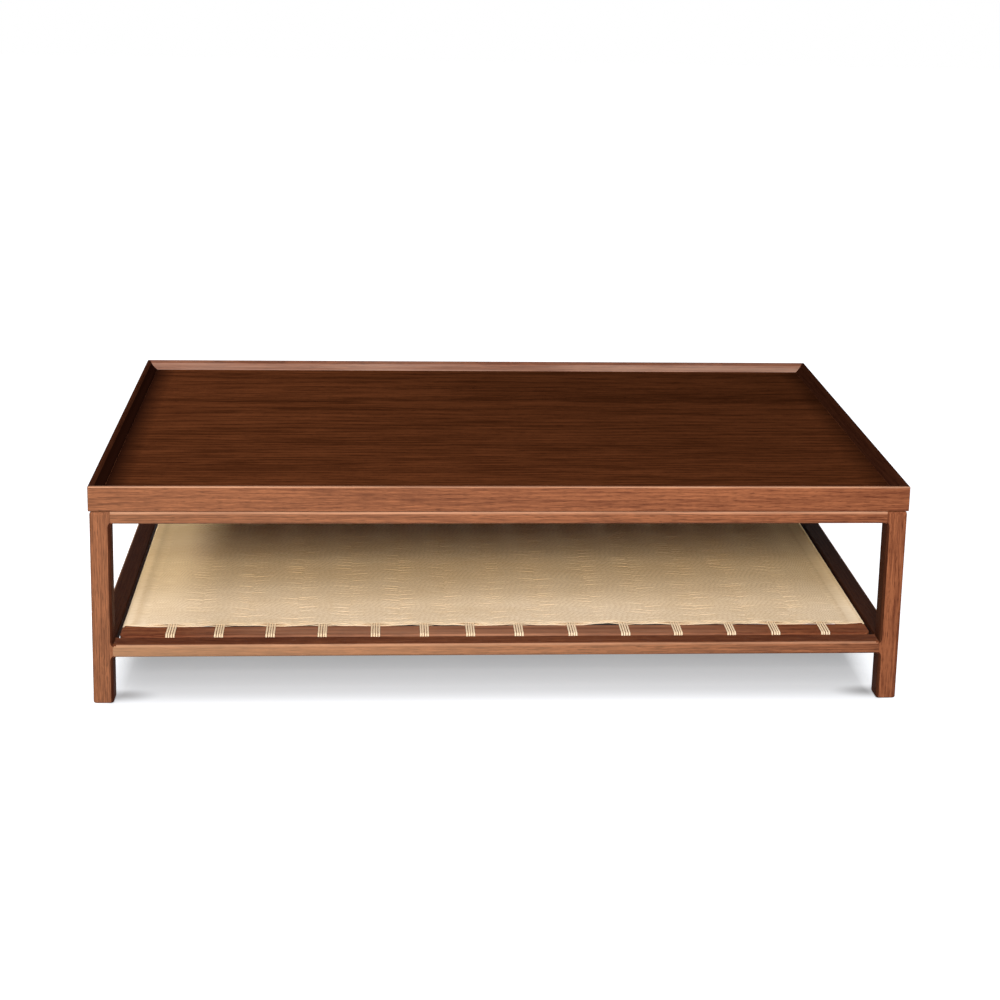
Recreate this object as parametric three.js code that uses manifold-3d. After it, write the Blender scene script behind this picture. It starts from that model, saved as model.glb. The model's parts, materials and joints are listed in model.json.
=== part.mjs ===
// A low rectangular coffee table: a lipped wooden tray on a separate four-legged frame,
// with a drop-in shelf woven from paper cord. Millimetres, +Z up, the front towards -Y,
// the origin on the floor under the middle of the table.

import * as THREE from 'three';
import { mergeVertices } from 'three/addons/utils/BufferGeometryUtils.js';
import Module from 'manifold-3d';

const wasm = await Module();
wasm.setup();

// Overall sizes
const tableLength = 1524;
const tableDepth = 914;
const tableHeight = 427;

// Fits, and how far a cutter runs past the face it cuts
const jointGap = 0.3;
const overrun = 2;

// Tray: a mitred rim with a coved lip, round a tongued panel
const trayHeight = 48;
const rimWidth = 24;
const lipWidth = 6;
const recessDepth = 17;
const coveSag = 2.2;
const lipRound = 2.4;
const rimEase = 1.5;
const trayCornerRadius = 3;
const trayPanelThickness = 18;
const grooveDepth = 8;
const trayTongueLength = 7;
const trayTongueThickness = 8;
const trayTongueRise = 4;

// Tray battens under the panel, and the loose tongues inside the mitres
const battenWidth = 60;
const battenEase = 2;
const battenSpacing = 480;
const splineThickness = 4;
const splineLength = 16;
const splineWidth = 12;
const splineRise = 4;

// Base frame: legs, top rails and stretchers, all flush outside
const baseInset = 2;
const legSize = 38;
const edgeRadius = 5;
const innerEdgeRadius = 3.5;
const routerRadius = 6;
const topEdgeRadius = 7;
const topRailHeight = 25;
const stretcherHeight = 24.5;
const stretcherUnderside = 93.5;
const footEase = 3;
const tenonThickness = 12;
const tenonShoulder = 4;
const topTenonShoulder = 8;

// Cross rail under the middle of the tray
const crossRailWidth = 38;
const crossRailHeight = 19;
const crossRailEase = 2;
const crossTenonLength = 12;
const crossTenonWidth = 26;
const crossTenonThickness = 9;

// Screws that hold the tray down, and the glides under the legs
const screwHeadRadius = 4.5;
const screwHeadHeight = 2;
const screwConeHeight = 2.5;
const screwShankRadius = 2.2;
const screwPointLength = 3;
const screwBite = 9;
const screwRecess = 6;
const screwInset = 8;
const glideRadius = 12.5;
const glideThickness = 2.2;
const glideEase = 1.2;
const glideNailRadius = 1.4;
const glideNailLength = 15;
const glidePointLength = 3;

// Woven shelf: two end bars, two side bars and a centre bar, dropped in on angle brackets
const shelfGap = 6;
const shelfBarHeight = 20;
const shelfEndBarWidth = 45;
const shelfSideBarWidth = 40;
const shelfCornerRadius = 12;
const shelfBarRound = 3;
const shelfTenonLength = 18;
const shelfTenonWidth = 26;
const shelfTenonThickness = 8;
const centreBarWidth = 36;
const centreBarHeight = 11;
const bracketThickness = 2.5;
const bracketRise = 16;
const bracketReach = 22;
const bracketWidth = 40;
const bracketBend = 4;

// Paper cord: four warp strands to a group, and the weft rows that cross them
const cordSize = 3.4;
const strandsPerGroup = 4;
const strandPitch = 4.6;
const warpGroups = 14;
const weftHookRise = 9;
const warpHookRise = 10;
// How far each group wanders from an even spacing, as shares of that spacing
const groupDriftShares = [-0.01, -0.06, -0.05, -0.02, 0.03, 0, -0.08, -0.11, -0.03, 0.03, 0.09, 0.17, 0.07, 0.08];
// Where the weave is sampled between a group and the valley beside it, as shares of that way
const swellShares = [0.2, 0.6];

// Facets of the round edges and turned pieces
const roundSteps = 3;
const arcSteps = 4;
const bendSteps = 3;
const turnedSides = 10;

// Heights and half sizes worked out from the above
const trayUnderside = tableHeight - trayHeight;
const trayFloor = tableHeight - recessDepth;
const trayPanelUnderside = trayFloor - trayPanelThickness;
const baseTop = trayUnderside - jointGap;
const topRailUnderside = baseTop - topRailHeight;
const stretcherTop = stretcherUnderside + stretcherHeight;
const legBottom = glideThickness + jointGap;
const trayHalfLength = tableLength / 2;
const trayHalfDepth = tableDepth / 2;
const baseHalfLength = trayHalfLength - baseInset;
const baseHalfDepth = trayHalfDepth - baseInset;
const shelfHalfLength = baseHalfLength - legSize - shelfGap;
const shelfHalfDepth = baseHalfDepth - legSize - shelfGap;
const shelfTop = stretcherTop;
const shelfUnderside = shelfTop - shelfBarHeight;
const endBarInner = shelfHalfDepth - shelfEndBarWidth;
const sideBarOuter = shelfHalfLength - cordSize - jointGap;
const sideBarInner = sideBarOuter - shelfSideBarWidth;
const crossRailUnderside = baseTop - crossRailHeight;

// The four sides of the table, each turned from the front one
const frontSide = { name: 'front', turn: 0, halfAlong: trayHalfLength, halfAcross: trayHalfDepth };
const rightSide = { name: 'right', turn: Math.PI / 2, halfAlong: trayHalfDepth, halfAcross: trayHalfLength };
const backSide = { name: 'back', turn: Math.PI, halfAlong: trayHalfLength, halfAcross: trayHalfDepth };
const leftSide = { name: 'left', turn: -Math.PI / 2, halfAlong: trayHalfDepth, halfAcross: trayHalfLength };
const sides = [frontSide, rightSide, backSide, leftSide];

// Finishes
const finish = (color, roughness, metalness = 0) => ({ color, roughness, metalness });
const stainedWood = finish(0x8a5236, 0.5);
const trayWood = finish(0x5e3420, 0.42);
const hiddenWood = finish(0xa8835a, 0.75);
const paperCord = finish(0xd9c093, 0.85);
const zincSteel = finish(0x8f9194, 0.4, 0.9);
const glidePlastic = finish(0x2a2826, 0.7);

// Solids: closed geometries in and out of the boolean library
function solidOf(geometry) {
  const bare = geometry.clone();
  bare.deleteAttribute('normal');
  bare.deleteAttribute('uv');
  const merged = mergeVertices(bare);
  const vertProperties = new Float32Array(merged.attributes.position.array);
  const triVerts = new Uint32Array(merged.index.array);
  return new wasm.Manifold(new wasm.Mesh({ numProp: 3, vertProperties, triVerts }));
}

function geometryOf(solid) {
  const mesh = solid.getMesh();
  const geometry = new THREE.BufferGeometry();
  geometry.setAttribute('position', new THREE.BufferAttribute(mesh.vertProperties, 3));
  geometry.setIndex(new THREE.BufferAttribute(mesh.triVerts, 1));
  geometry.computeVertexNormals();
  return geometry;
}

const turned = (geometry, side) => geometry.clone().rotateZ(side.turn);

const cutAll = (solid, cutters) => cutters.reduce((left, cutter) => left.subtract(cutter), solid);

// A block between two corners
function blockBetween([x0, y0, z0], [x1, y1, z1]) {
  const block = new THREE.BoxGeometry(x1 - x0, y1 - y0, z1 - z0);
  return block.translate((x0 + x1) / 2, (y0 + y1) / 2, (z0 + z1) / 2);
}

// Points of a circular arc from one angle to another
function arcPoints(centreX, centreY, radius, from, to, steps) {
  const points = [];
  for (let i = 0; i <= steps; i += 1) {
    const angle = from + ((to - from) * i) / steps;
    points.push(new THREE.Vector2(centreX + radius * Math.cos(angle), centreY + radius * Math.sin(angle)));
  }
  return points;
}

// A rectangle with a radius for each corner, anticlockwise from the one at high x and high y
function cornerOutline(lowX, lowY, highX, highY, radii, steps) {
  const corners = [[highX, highY, -1, -1], [lowX, highY, 1, -1], [lowX, lowY, 1, 1], [highX, lowY, -1, 1]];
  return corners.flatMap(([x, y, inX, inY], i) => {
    const start = (i * Math.PI) / 2;
    const radius = radii[i];
    return arcPoints(x + inX * radius, y + inY * radius, radius, start, start + Math.PI / 2, steps);
  });
}

// One closed body through rings of equally many points, each convex, with flat ends
function loft(rings) {
  const count = rings[0].length;
  const last = rings.length - 1;
  const triangles = [];
  for (let ring = 0; ring < last; ring += 1) {
    for (let i = 0; i < count; i += 1) {
      const a = ring * count + i;
      const b = ring * count + ((i + 1) % count);
      triangles.push([a, b, b + count], [a, b + count, a + count]);
    }
  }
  for (let i = 1; i < count - 1; i += 1) {
    triangles.push([0, i + 1, i], [last * count, last * count + i, last * count + i + 1]);
  }
  const corners = rings.flat();
  const volume = triangles.reduce((sum, [a, b, c]) => sum + corners[a].dot(corners[b].clone().cross(corners[c])), 0);
  const outward = volume > 0 ? triangles : triangles.map(([a, b, c]) => [a, c, b]);
  const geometry = new THREE.BufferGeometry().setFromPoints(corners);
  geometry.setIndex(outward.flat());
  return geometry;
}

// An outline in the plane of Y and Z, run along X from one place to another
function runAlongX(points, fromX, toX) {
  const run = new THREE.ExtrudeGeometry(new THREE.Shape(points), { depth: toX - fromX, bevelEnabled: false });
  const axes = new THREE.Matrix4().makeBasis(
    new THREE.Vector3(0, 1, 0),
    new THREE.Vector3(0, 0, 1),
    new THREE.Vector3(1, 0, 0),
  );
  return run.applyMatrix4(axes).translate(fromX, 0, 0);
}

// An outline in the plane of X and Z, run along Y over a half length each way
function runAlongY(shape, halfLength) {
  const run = new THREE.ExtrudeGeometry(shape, { depth: 2 * halfLength, bevelEnabled: false });
  const axes = new THREE.Matrix4().makeBasis(
    new THREE.Vector3(1, 0, 0),
    new THREE.Vector3(0, 0, 1),
    new THREE.Vector3(0, -1, 0),
  );
  return run.applyMatrix4(axes).translate(0, halfLength, 0);
}

// A profile of [radius, height] pairs turned about a vertical axis
function turnedPiece(profile, x, y) {
  const points = profile.map(([radius, height]) => new THREE.Vector2(radius, height));
  return new THREE.LatheGeometry(points, turnedSides).rotateX(Math.PI / 2).translate(x, y, 0);
}

// Tray rim, one side: the section is u inwards from the outer face and v up from the underside
function rimSection() {
  const tongueBottom = trayPanelUnderside - trayUnderside + trayTongueRise - jointGap;
  const tongueTop = tongueBottom + trayTongueThickness + 2 * jointGap;
  const floor = trayFloor - trayUnderside;
  const grooveBack = rimWidth - grooveDepth;
  const coveTop = new THREE.Vector2(lipWidth, trayHeight);
  const coveFoot = new THREE.Vector2(rimWidth, floor);
  const chord = coveFoot.distanceTo(coveTop);
  const coveRadius = (chord * chord) / (8 * coveSag) + coveSag / 2;
  const along = coveFoot.clone().sub(coveTop).normalize();
  const outward = new THREE.Vector2(-along.y, along.x);
  const middle = coveTop.clone().add(coveFoot).multiplyScalar(0.5);
  const centre = middle.addScaledVector(outward, coveRadius - coveSag);
  const angleTo = (point) => Math.atan2(point.y - centre.y, point.x - centre.x);
  const cove = arcPoints(centre.x, centre.y, coveRadius, angleTo(coveFoot), angleTo(coveTop), arcSteps);
  return [
    new THREE.Vector2(rimEase, 0),
    new THREE.Vector2(rimWidth, 0),
    new THREE.Vector2(rimWidth, tongueBottom),
    new THREE.Vector2(grooveBack, tongueBottom),
    new THREE.Vector2(grooveBack, tongueTop),
    new THREE.Vector2(rimWidth, tongueTop),
    ...cove,
    ...arcPoints(lipRound, trayHeight - lipRound, lipRound, Math.PI / 2, Math.PI, roundSteps),
    new THREE.Vector2(0, rimEase),
  ];
}

// Two blocks set square across the mitres of a side, for the loose tongues or their slots
function splineBlock(clearance) {
  const halfLong = splineLength / 2 + clearance;
  const halfWide = splineWidth / 2 + clearance;
  const low = trayUnderside + splineRise - clearance;
  const high = trayUnderside + splineRise + splineThickness + clearance;
  return blockBetween([-halfLong, -halfWide, low], [halfLong, halfWide, high]);
}

function atTrayCorner(geometry, sideX, sideY) {
  const turn = sideX * sideY * (Math.PI / 4);
  const middle = rimWidth / 2;
  return geometry.clone().rotateZ(turn).translate(sideX * (trayHalfLength - middle), sideY * (trayHalfDepth - middle), 0);
}

const cornerSigns = [[-1, -1], [1, -1], [1, 1], [-1, 1]];

const splineSlots = cornerSigns.map(([sideX, sideY]) => solidOf(atTrayCorner(splineBlock(jointGap), sideX, sideY)));

// The tray's outer form, which rounds its upright corners
const trayBlank = solidOf(loft([trayUnderside - overrun, tableHeight + overrun].map((z) => cornerOutline(
  -trayHalfLength,
  -trayHalfDepth,
  trayHalfLength,
  trayHalfDepth,
  [trayCornerRadius, trayCornerRadius, trayCornerRadius, trayCornerRadius],
  roundSteps,
).map(({ x, y }) => new THREE.Vector3(x, y, z)))));

function trayRim(side) {
  const rim = runAlongX(rimSection(), -1, 1);
  const { position } = rim.attributes;
  const mitreGap = jointGap * Math.SQRT1_2;
  for (let i = 0; i < position.count; i += 1) {
    const inset = position.getY(i);
    const end = Math.sign(position.getX(i));
    const x = end * (side.halfAlong - inset - mitreGap);
    position.setXYZ(i, x, inset - side.halfAcross, position.getZ(i) + trayUnderside);
  }
  return geometryOf(cutAll(solidOf(turned(rim, side)).intersect(trayBlank), splineSlots));
}

// Tray panel with a tongue all round
function trayPanel() {
  const halfLength = trayHalfLength - rimWidth - jointGap;
  const halfDepth = trayHalfDepth - rimWidth - jointGap;
  const tongueLow = trayPanelUnderside + trayTongueRise;
  const board = blockBetween([-halfLength, -halfDepth, trayPanelUnderside], [halfLength, halfDepth, trayFloor]);
  const tongue = blockBetween(
    [-halfLength - trayTongueLength, -halfDepth - trayTongueLength, tongueLow],
    [halfLength + trayTongueLength, halfDepth + trayTongueLength, tongueLow + trayTongueThickness],
  );
  return geometryOf(solidOf(board).add(solidOf(tongue)));
}

// Where the tray is screwed down: into the outer battens, through the front and back top rails
const screwPlaces = [-battenSpacing, battenSpacing].flatMap((x) => [-1, 1].map((sideY) => ({
  x,
  y: sideY * (baseHalfDepth - legSize + screwInset),
})));

function screwHole({ x, y }) {
  const shank = screwShankRadius + jointGap;
  const head = screwHeadRadius + jointGap;
  const seat = topRailUnderside + screwRecess + screwHeadHeight;
  const top = trayUnderside + screwBite + jointGap;
  const bottom = topRailUnderside - overrun;
  const profile = [[0, bottom], [head, bottom], [head, seat], [shank, seat + screwConeHeight], [shank, top], [0, top]];
  return solidOf(turnedPiece(profile, x, y));
}

function trayScrew({ x, y }) {
  const bottom = topRailUnderside + screwRecess;
  const seat = bottom + screwHeadHeight - jointGap;
  const top = trayUnderside + screwBite;
  return turnedPiece([
    [0, bottom],
    [screwHeadRadius, bottom],
    [screwHeadRadius, seat],
    [screwShankRadius, seat + screwConeHeight],
    [screwShankRadius, top - screwPointLength],
    [0, top],
  ], x, y);
}

const screwHoles = screwPlaces.map(screwHole);

// A batten across the underside of the panel, with eased lower edges
function trayBatten(x) {
  const low = trayUnderside;
  const high = trayPanelUnderside - jointGap;
  const half = battenWidth / 2;
  const section = [
    new THREE.Vector2(x - half + battenEase, low),
    new THREE.Vector2(x + half - battenEase, low),
    new THREE.Vector2(x + half, low + battenEase),
    new THREE.Vector2(x + half, high),
    new THREE.Vector2(x - half, high),
    new THREE.Vector2(x - half, low + battenEase),
  ];
  const batten = runAlongY(new THREE.Shape(section), trayHalfDepth - rimWidth - jointGap);
  return geometryOf(cutAll(solidOf(batten), screwHoles));
}

// The round-over that a bearing bit leaves about an opening in one face of the frame.
// Depth runs from the face into the wood, and the opening widens towards the face.
function openingRoundOver(side, lowZ, highZ, face, intoWood, radius) {
  const halfWide = side.halfAlong - baseInset - legSize;
  const depths = [[-overrun, radius]];
  for (let i = 0; i <= roundSteps; i += 1) {
    const angle = (i / roundSteps) * (Math.PI / 2);
    depths.push([radius * (1 - Math.cos(angle)), radius * (1 - Math.sin(angle))]);
  }
  const rings = depths.map(([depth, spread]) => {
    const corner = routerRadius + spread;
    const corners = [corner, corner, corner, corner];
    const outline = cornerOutline(-halfWide - spread, lowZ - spread, halfWide + spread, highZ + spread, corners, arcSteps);
    return outline.map(({ x, y }) => new THREE.Vector3(x, face + intoWood * depth, y));
  });
  return solidOf(turned(loft(rings), side));
}

// Every round-over on one side of the frame: above and below the stretcher, outside and inside
function roundOvers(side) {
  const outer = baseInset - side.halfAcross;
  const belowFloor = -legSize;
  return [
    openingRoundOver(side, stretcherTop, topRailUnderside, outer, 1, edgeRadius),
    openingRoundOver(side, belowFloor, stretcherUnderside, outer, 1, edgeRadius),
    openingRoundOver(side, stretcherTop, topRailUnderside, outer + legSize, -1, innerEdgeRadius),
    openingRoundOver(side, belowFloor, stretcherUnderside, outer + legSize, -1, innerEdgeRadius),
  ];
}

const roundOversOf = new Map(sides.map((side) => [side, roundOvers(side)]));

// The frame's outer form: upright corners rounded, and the top edge rounded all round
function frameBlank() {
  const levels = [[legBottom - overrun, 0]];
  for (let i = 0; i <= roundSteps; i += 1) {
    const angle = (i / roundSteps) * (Math.PI / 2);
    levels.push([baseTop - topEdgeRadius * (1 - Math.sin(angle)), topEdgeRadius * (1 - Math.cos(angle))]);
  }
  const rings = levels.map(([z, inset]) => {
    const corner = Math.max(edgeRadius - inset, jointGap);
    const halfX = baseHalfLength - inset;
    const halfY = baseHalfDepth - inset;
    const outline = cornerOutline(-halfX, -halfY, halfX, halfY, [corner, corner, corner, corner], roundSteps);
    return outline.map(({ x, y }) => new THREE.Vector3(x, y, z));
  });
  return solidOf(loft(rings));
}

const baseBlank = frameBlank();

// A leg-sized form that eases the foot, and stands clear of the leg above it
function footForm(x, y) {
  const levels = [];
  for (let i = 0; i <= roundSteps; i += 1) {
    const angle = (i / roundSteps) * (Math.PI / 2);
    levels.push([legBottom + footEase * (1 - Math.cos(angle)), footEase * (1 - Math.sin(angle))]);
  }
  levels.push([legBottom + footEase + overrun, -overrun], [baseTop + overrun, -overrun]);
  return solidOf(loft(levels.map(([z, inset]) => {
    const half = legSize / 2 - inset;
    const corners = [edgeRadius, edgeRadius, edgeRadius, edgeRadius];
    return cornerOutline(x - half, y - half, x + half, y + half, corners, roundSteps)
      .map((point) => new THREE.Vector3(point.x, point.y, z));
  })));
}

// Heights of the tenons on the top rails and on the stretchers
const railTenon = { low: topRailUnderside + tenonShoulder, high: baseTop - topTenonShoulder };
const stretcherTenon = { low: stretcherUnderside + tenonShoulder, high: stretcherTop - tenonShoulder };

// Both tenons of one side, mitred where they meet their neighbours inside the leg
function tenonsOf(side, tenon) {
  const shoulder = side.halfAlong - baseInset - legSize - jointGap;
  const middle = legSize / 2;
  const half = tenonThickness / 2;
  const mitreGap = jointGap * Math.SQRT1_2;
  const innerEnd = shoulder + jointGap + middle - half - mitreGap;
  const outerEnd = innerEnd + tenonThickness;
  const y = baseInset + middle - side.halfAcross;
  return [-1, 1].map((end) => {
    const plan = [
      new THREE.Vector2(end * (shoulder - overrun), y + half),
      new THREE.Vector2(end * (shoulder - overrun), y - half),
      new THREE.Vector2(end * outerEnd, y - half),
      new THREE.Vector2(end * innerEnd, y + half),
    ];
    const depth = tenon.high - tenon.low;
    const block = new THREE.ExtrudeGeometry(new THREE.Shape(plan), { depth, bevelEnabled: false });
    return solidOf(turned(block.translate(0, 0, tenon.low), side));
  });
}

// The mortise in a leg for both tenons at one level
function mortise(sideX, sideY, tenon) {
  const half = tenonThickness / 2 + jointGap;
  const x = sideX * (baseHalfLength - legSize / 2);
  const y = sideY * (baseHalfDepth - legSize / 2);
  const innerX = sideX * (baseHalfLength - legSize - overrun);
  const innerY = sideY * (baseHalfDepth - legSize - overrun);
  const low = tenon.low - jointGap;
  const high = tenon.high + jointGap;
  const [fromX, toX] = [innerX, x + sideX * half].sort((a, b) => a - b);
  const [fromY, toY] = [innerY, y + sideY * half].sort((a, b) => a - b);
  const alongX = solidOf(blockBetween([fromX, y - half, low], [toX, y + half, high]));
  const alongY = solidOf(blockBetween([x - half, fromY, low], [x + half, toY, high]));
  return alongX.add(alongY);
}

function glide(x, y) {
  const neck = glideThickness + glideNailLength - glidePointLength;
  return turnedPiece([
    [0, 0],
    [glideRadius - glideEase, 0],
    [glideRadius, glideEase],
    [glideRadius, glideThickness],
    [glideNailRadius, glideThickness],
    [glideNailRadius, neck],
    [0, glideThickness + glideNailLength],
  ], x, y);
}

function glideHole(x, y) {
  const radius = glideNailRadius + jointGap;
  const top = glideThickness + glideNailLength + jointGap;
  return solidOf(turnedPiece([[0, legBottom - overrun], [radius, legBottom - overrun], [radius, top], [0, top]], x, y));
}

const legCentre = (sideX, sideY) => [sideX * (baseHalfLength - legSize / 2), sideY * (baseHalfDepth - legSize / 2)];

function leg(sideX, sideY) {
  const [x, y] = legCentre(sideX, sideY);
  const half = legSize / 2;
  const post = solidOf(blockBetween([x - half, y - half, legBottom], [x + half, y + half, baseTop]));
  const acrossSide = sideY < 0 ? frontSide : backSide;
  const alongSide = sideX < 0 ? leftSide : rightSide;
  return geometryOf(cutAll(post.intersect(baseBlank).intersect(footForm(x, y)), [
    ...roundOversOf.get(acrossSide),
    ...roundOversOf.get(alongSide),
    mortise(sideX, sideY, railTenon),
    mortise(sideX, sideY, stretcherTenon),
    glideHole(x, y),
  ]));
}

// The cross rail's block, or the housing for it, with its stub tenons
function crossRailBody(clearance) {
  const halfSpan = baseHalfDepth - legSize - jointGap;
  const middle = baseTop - crossRailHeight / 2;
  const halfTenon = crossTenonThickness / 2 + clearance;
  const reach = halfSpan + crossTenonLength + clearance;
  const halfTongue = crossTenonWidth / 2 + clearance;
  return blockBetween([-halfTongue, -reach, middle - halfTenon], [halfTongue, reach, middle + halfTenon]);
}

const crossRailHousing = solidOf(crossRailBody(jointGap));

function crossRail() {
  const half = crossRailWidth / 2;
  const section = [
    new THREE.Vector2(-half + crossRailEase, crossRailUnderside),
    new THREE.Vector2(half - crossRailEase, crossRailUnderside),
    new THREE.Vector2(half, crossRailUnderside + crossRailEase),
    new THREE.Vector2(half, baseTop),
    new THREE.Vector2(-half, baseTop),
    new THREE.Vector2(-half, crossRailUnderside + crossRailEase),
  ];
  const rail = runAlongY(new THREE.Shape(section), baseHalfDepth - legSize - jointGap);
  return geometryOf(solidOf(rail).add(solidOf(crossRailBody(0))));
}

// A member between two legs, with its tenons, before its edges are rounded
function memberBetweenLegs(side, low, high, tenon) {
  const shoulder = side.halfAlong - baseInset - legSize - jointGap;
  const outer = baseInset - side.halfAcross;
  const bar = blockBetween([-shoulder, outer, low], [shoulder, outer + legSize, high]);
  return tenonsOf(side, tenon).reduce((whole, part) => whole.add(part), solidOf(turned(bar, side)));
}

function topRail(side) {
  const rail = memberBetweenLegs(side, topRailUnderside, baseTop, railTenon).intersect(baseBlank);
  return geometryOf(cutAll(rail, [...roundOversOf.get(side), ...screwHoles, crossRailHousing]));
}

function stretcher(side) {
  const bar = memberBetweenLegs(side, stretcherUnderside, stretcherTop, stretcherTenon);
  return geometryOf(cutAll(bar.intersect(baseBlank), roundOversOf.get(side)));
}

// Tenons at both ends of a shelf bar that runs front to back, or their mortises
function shelfTenons(x, top, thickness, clearance) {
  const half = shelfTenonWidth / 2 + clearance;
  const reach = endBarInner + shelfTenonLength + clearance;
  const middle = top - (shelfBarHeight - (shelfTop - top)) / 2;
  const halfThick = thickness / 2 + clearance;
  return blockBetween([x - half, -reach, middle - halfThick], [x + half, reach, middle + halfThick]);
}

const sideBarMiddle = (sideBarOuter + sideBarInner) / 2;
const centreBarTop = shelfUnderside + centreBarHeight;
const centreTenonThickness = centreBarHeight - shelfBarRound;
const sideBarTenons = (sideX, gap) => shelfTenons(sideX * sideBarMiddle, shelfTop, shelfTenonThickness, gap);
const centreBarTenons = (gap) => shelfTenons(0, centreBarTop, centreTenonThickness, gap);
const shelfMortises = [sideBarTenons(-1, jointGap), sideBarTenons(1, jointGap), centreBarTenons(jointGap)].map(solidOf);

// Front or back bar of the shelf, with round outer corners and eased edges
function shelfEndBar(sideY) {
  const [lowY, highY] = [sideY * shelfHalfDepth, sideY * endBarInner].sort((a, b) => a - b);
  const outerCorner = (isOuter, inset) => Math.max((isOuter ? shelfCornerRadius : shelfBarRound) - inset, jointGap);
  const eased = [];
  for (let i = 0; i <= roundSteps; i += 1) {
    const angle = (i / roundSteps) * (Math.PI / 2);
    eased.push([shelfBarRound * (1 - Math.cos(angle)), shelfBarRound * (1 - Math.sin(angle))]);
  }
  const levels = [
    ...eased.map(([rise, inset]) => [shelfUnderside + rise, inset]),
    ...eased.map(([drop, inset]) => [shelfTop - drop, inset]).reverse(),
  ];
  const bar = loft(levels.map(([z, inset]) => {
    const back = outerCorner(sideY > 0, inset);
    const front = outerCorner(sideY < 0, inset);
    const x = shelfHalfLength - inset;
    return cornerOutline(-x, lowY + inset, x, highY - inset, [back, back, front, front], roundSteps)
      .map((point) => new THREE.Vector3(point.x, point.y, z));
  }));
  return geometryOf(cutAll(solidOf(bar), shelfMortises));
}

// A bar of the shelf that runs front to back between the end bars
function shelfLongBar(x, width, low, high, tenons) {
  const corners = [shelfBarRound, shelfBarRound, shelfBarRound, shelfBarRound];
  const section = cornerOutline(x - width / 2, low, x + width / 2, high, corners, roundSteps);
  const bar = runAlongY(new THREE.Shape(section), endBarInner - jointGap);
  return geometryOf(solidOf(bar).add(solidOf(tenons)));
}

// An angle bracket on the inner face of a stretcher, under an end bar of the shelf
function shelfBracket(sideY, x) {
  const wall = baseHalfDepth - legSize - jointGap;
  const top = shelfUnderside - jointGap;
  const low = top - bracketThickness;
  const innerBend = bracketBend - bracketThickness;
  const bend = (radius) => arcPoints(
    wall - bracketBend,
    low + bracketBend,
    radius,
    -Math.PI / 2,
    0,
    bendSteps,
  );
  const outline = [
    new THREE.Vector2(wall - bracketReach, low),
    ...bend(bracketBend),
    new THREE.Vector2(wall, low + bracketRise + bracketThickness),
    new THREE.Vector2(wall - bracketThickness, low + bracketRise + bracketThickness),
    ...bend(innerBend).reverse(),
    new THREE.Vector2(wall - bracketReach, top),
  ];
  const bracket = runAlongX(outline, -bracketWidth / 2, bracketWidth / 2);
  return bracket.rotateZ(sideY > 0 ? 0 : Math.PI).translate(x, 0, 0);
}

// How a layer of cord goes round a bar: over its outer corner, down, under and up its inner face.
// Returns the outer way and the inner way, both from the top of the bar to the end of the hook.
function hookWays(outerFace, innerFace, top, bottom, radius, thickness, rise) {
  const way = (reach) => [
    ...arcPoints(outerFace - radius, top - radius, reach, Math.PI / 2, 0, bendSteps),
    ...arcPoints(outerFace - radius, bottom + radius, reach, 0, -Math.PI / 2, bendSteps),
    ...arcPoints(innerFace + radius, bottom + radius, reach, -Math.PI / 2, -Math.PI, bendSteps),
    new THREE.Vector2(innerFace + radius - reach, bottom + rise),
  ];
  const inner = radius + jointGap;
  return { outer: way(inner + thickness), inner: way(inner) };
}

const mirroredWay = (points) => points.map(({ x, y }) => new THREE.Vector2(-x, y));

// Weave: the middle of the cord layer, and the even places of the warp groups with their drift
const weaveMiddle = shelfTop + jointGap + cordSize / 2;
const warpBandWidth = strandsPerGroup * strandPitch;
const warpPitch = (2 * shelfHalfLength) / (warpGroups + 1);
const warpPlaces = groupDriftShares.map((share, i) => (i - (warpGroups - 1) / 2 + share) * warpPitch);

// Places and heights along the weave: a crest over each group and a valley between two groups
function weaveSwell() {
  const points = [];
  warpPlaces.forEach((place, i) => {
    const toLeft = i > 0 ? (place - warpPlaces[i - 1]) / 2 : warpPitch / 2;
    const toRight = i < warpGroups - 1 ? (warpPlaces[i + 1] - place) / 2 : warpPitch / 2;
    const rise = (share) => (cordSize * (1 + Math.cos(Math.PI * share))) / 2;
    if (i === 0) points.push([place - toLeft, 0]);
    [...swellShares].reverse().forEach((share) => points.push([place - share * toLeft, rise(share)]));
    swellShares.forEach((share) => points.push([place + share * toRight, rise(share)]));
    points.push([place + toRight, 0]);
  });
  return points;
}

// The weft as one mat: it hooks round both side bars and has a tunnel for each warp group
function weftMat() {
  const swell = weaveSwell();
  const halfMat = cordSize / 2;
  const over = swell.map(([x, rise]) => new THREE.Vector2(x, weaveMiddle + halfMat + rise));
  const under = swell.map(([x, rise]) => new THREE.Vector2(x, weaveMiddle - halfMat - rise)).reverse();
  const hook = hookWays(sideBarOuter, sideBarInner, shelfTop, shelfUnderside, shelfBarRound, cordSize, weftHookRise);
  const shape = new THREE.Shape([
    ...mirroredWay(hook.outer).reverse(),
    ...over,
    ...hook.outer,
    ...[...hook.inner].reverse(),
    ...under,
    ...mirroredWay(hook.inner),
  ]);
  const halfHigh = cordSize / 2 + jointGap;
  const halfWide = warpBandWidth / 2 + jointGap;
  warpPlaces.forEach((place) => {
    const corners = [
      [place - halfWide, weaveMiddle - halfHigh],
      [place + halfWide, weaveMiddle - halfHigh],
      [place + halfWide, weaveMiddle + halfHigh],
      [place - halfWide, weaveMiddle + halfHigh],
    ];
    shape.holes.push(new THREE.Path(corners.map(([x, z]) => new THREE.Vector2(x, z))));
  });
  return runAlongY(shape, endBarInner - 2 * jointGap);
}

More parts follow.
